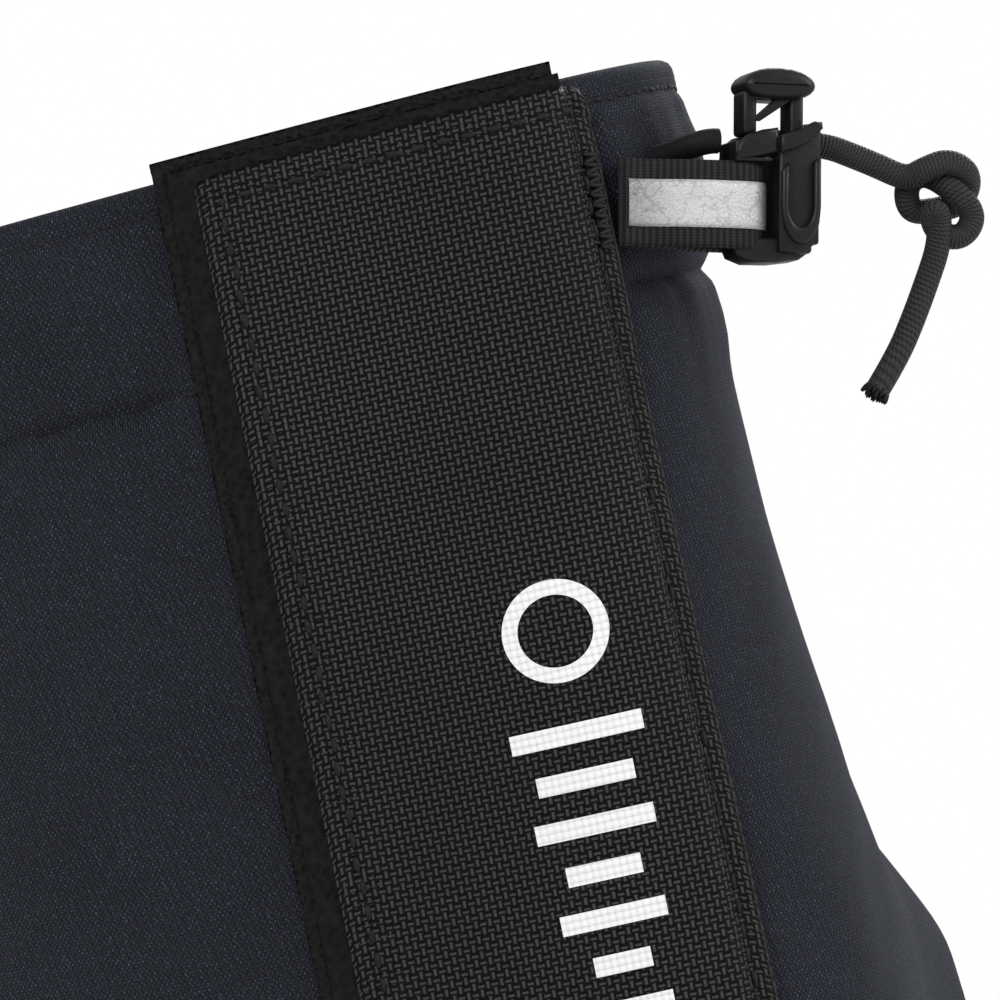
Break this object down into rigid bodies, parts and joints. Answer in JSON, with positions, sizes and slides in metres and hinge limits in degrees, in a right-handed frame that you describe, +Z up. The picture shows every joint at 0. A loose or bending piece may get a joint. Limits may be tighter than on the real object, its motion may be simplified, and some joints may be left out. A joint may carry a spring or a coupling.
{
  "type": "mountaineering gaiter",
  "caption": "Knee-high gaiter with a front hook-and-loop flap, drawcord top with cord lock, and an instep strap with a cam buckle.",
  "frame": {"origin": "middle of the boot opening, level with the underside of the instep strap", "axes": "+Z up the leg, -Y towards the front closure, +X to the wearer's outer side, where the cord lock and the buckle are"},
  "size_m": [0.1407, 0.1458, 0.4372],
  "materials": {
    "softshell": "fine plain-woven softshell, charcoal navy",
    "pack_cloth": "coated nylon pack cloth, black",
    "flap_nylon": "coarse ballistic nylon weave, black",
    "hook_pile": "hook tape, black",
    "loop_pile": "loop tape, black",
    "lining_tape": "woven tape, black",
    "elastic": "ribbed elastic, black",
    "grosgrain": "ribbed grosgrain webbing, black",
    "reflector": "silver retroreflective tape",
    "thread": "black polyester thread",
    "cord_sheath": "braided elastic cord, black",
    "acetal": "moulded acetal, black",
    "nickel": "nickel-plated brass",
    "spring_steel": "bright spring wire",
    "gunmetal": "blackened steel",
    "strap_rubber": "coated strap, black"
  },
  "bodies": {
    "gaiter": {"upper_outer_panel": "softshell", "upper_inner_panel": "softshell", "lower_outer_panel": "pack_cloth", "lower_inner_panel": "pack_cloth", "scuff_patch": "flap_nylon", "waist_tape": "lining_tape", "casing_facing": "softshell", "ankle_elastic": "elastic", "hem_binding": "lining_tape", "hook_tape": "hook_pile", "flap_seam_strip": "flap_nylon", "tab_bartack": "thread", "eyelet": "nickel", "drawcord_ring": "cord_sheath", "drawcord_lead": "cord_sheath", "outer_strap_patch": "pack_cloth", "inner_strap_patch": "pack_cloth", "outer_strap_rivet": "nickel", "inner_strap_rivet": "nickel", "lace_hook": "gunmetal", "hook_patch": "pack_cloth", "hook_rivet": "nickel"},
    "flap": {"flap_panel": "flap_nylon", "loop_tape": "loop_pile"},
    "tab": {"webbing_tab": "grosgrain", "reflective_strip": "reflector"},
    "lock": {"lock_body": "acetal", "lock_spring": "spring_steel", "drawcord_strand": "cord_sheath", "drawcord_knot": "cord_sheath", "drawcord_tail": "cord_sheath"},
    "plunger": {"lock_plunger": "acetal"},
    "strap": {"instep_strap": "strap_rubber", "buckle_frame": "gunmetal", "buckle_pin": "nickel"},
    "lever": {"buckle_lever": "gunmetal"}
  },
  "joints": [
    {"name": "flap_open", "type": "hinge", "parent": "gaiter", "child": "flap", "pos_m": [0.02384, -0.06567, 0.223], "axis": [0.011, 0.0637, 0.9979], "range_deg": [0, 100]},
    {"name": "tab_swing", "type": "hinge", "parent": "gaiter", "child": "tab", "pos_m": [0.0296, -0.04884, 0.42], "axis": [-0.22, -0.0468, -0.9744], "range_deg": [0, 70]},
    {"name": "lock_swing", "type": "hinge", "parent": "tab", "child": "lock", "pos_m": [0.0439, -0.04478, 0.41847], "axis": [-0.22, -0.0468, -0.9744], "range_deg": [-25, 25]},
    {"name": "plunger_press", "type": "slide", "parent": "lock", "child": "plunger", "axis": [-0.22, -0.0468, -0.9744], "range_m": [0, 0.0024], "stiffness_N_per_m": 900, "springref_m": -0.001, "deforming": ["lock_spring"]},
    {"name": "strap_swing", "type": "hinge", "parent": "gaiter", "child": "strap", "pos_m": [0, 0, 0.045], "axis": [1, 0, 0], "range_deg": [-25, 25]},
    {"name": "lever_open", "type": "hinge", "parent": "strap", "child": "lever", "pos_m": [0.06212, 0, 0.02508], "axis": [0, -1, 0], "range_deg": [0, 80]}
  ]
}
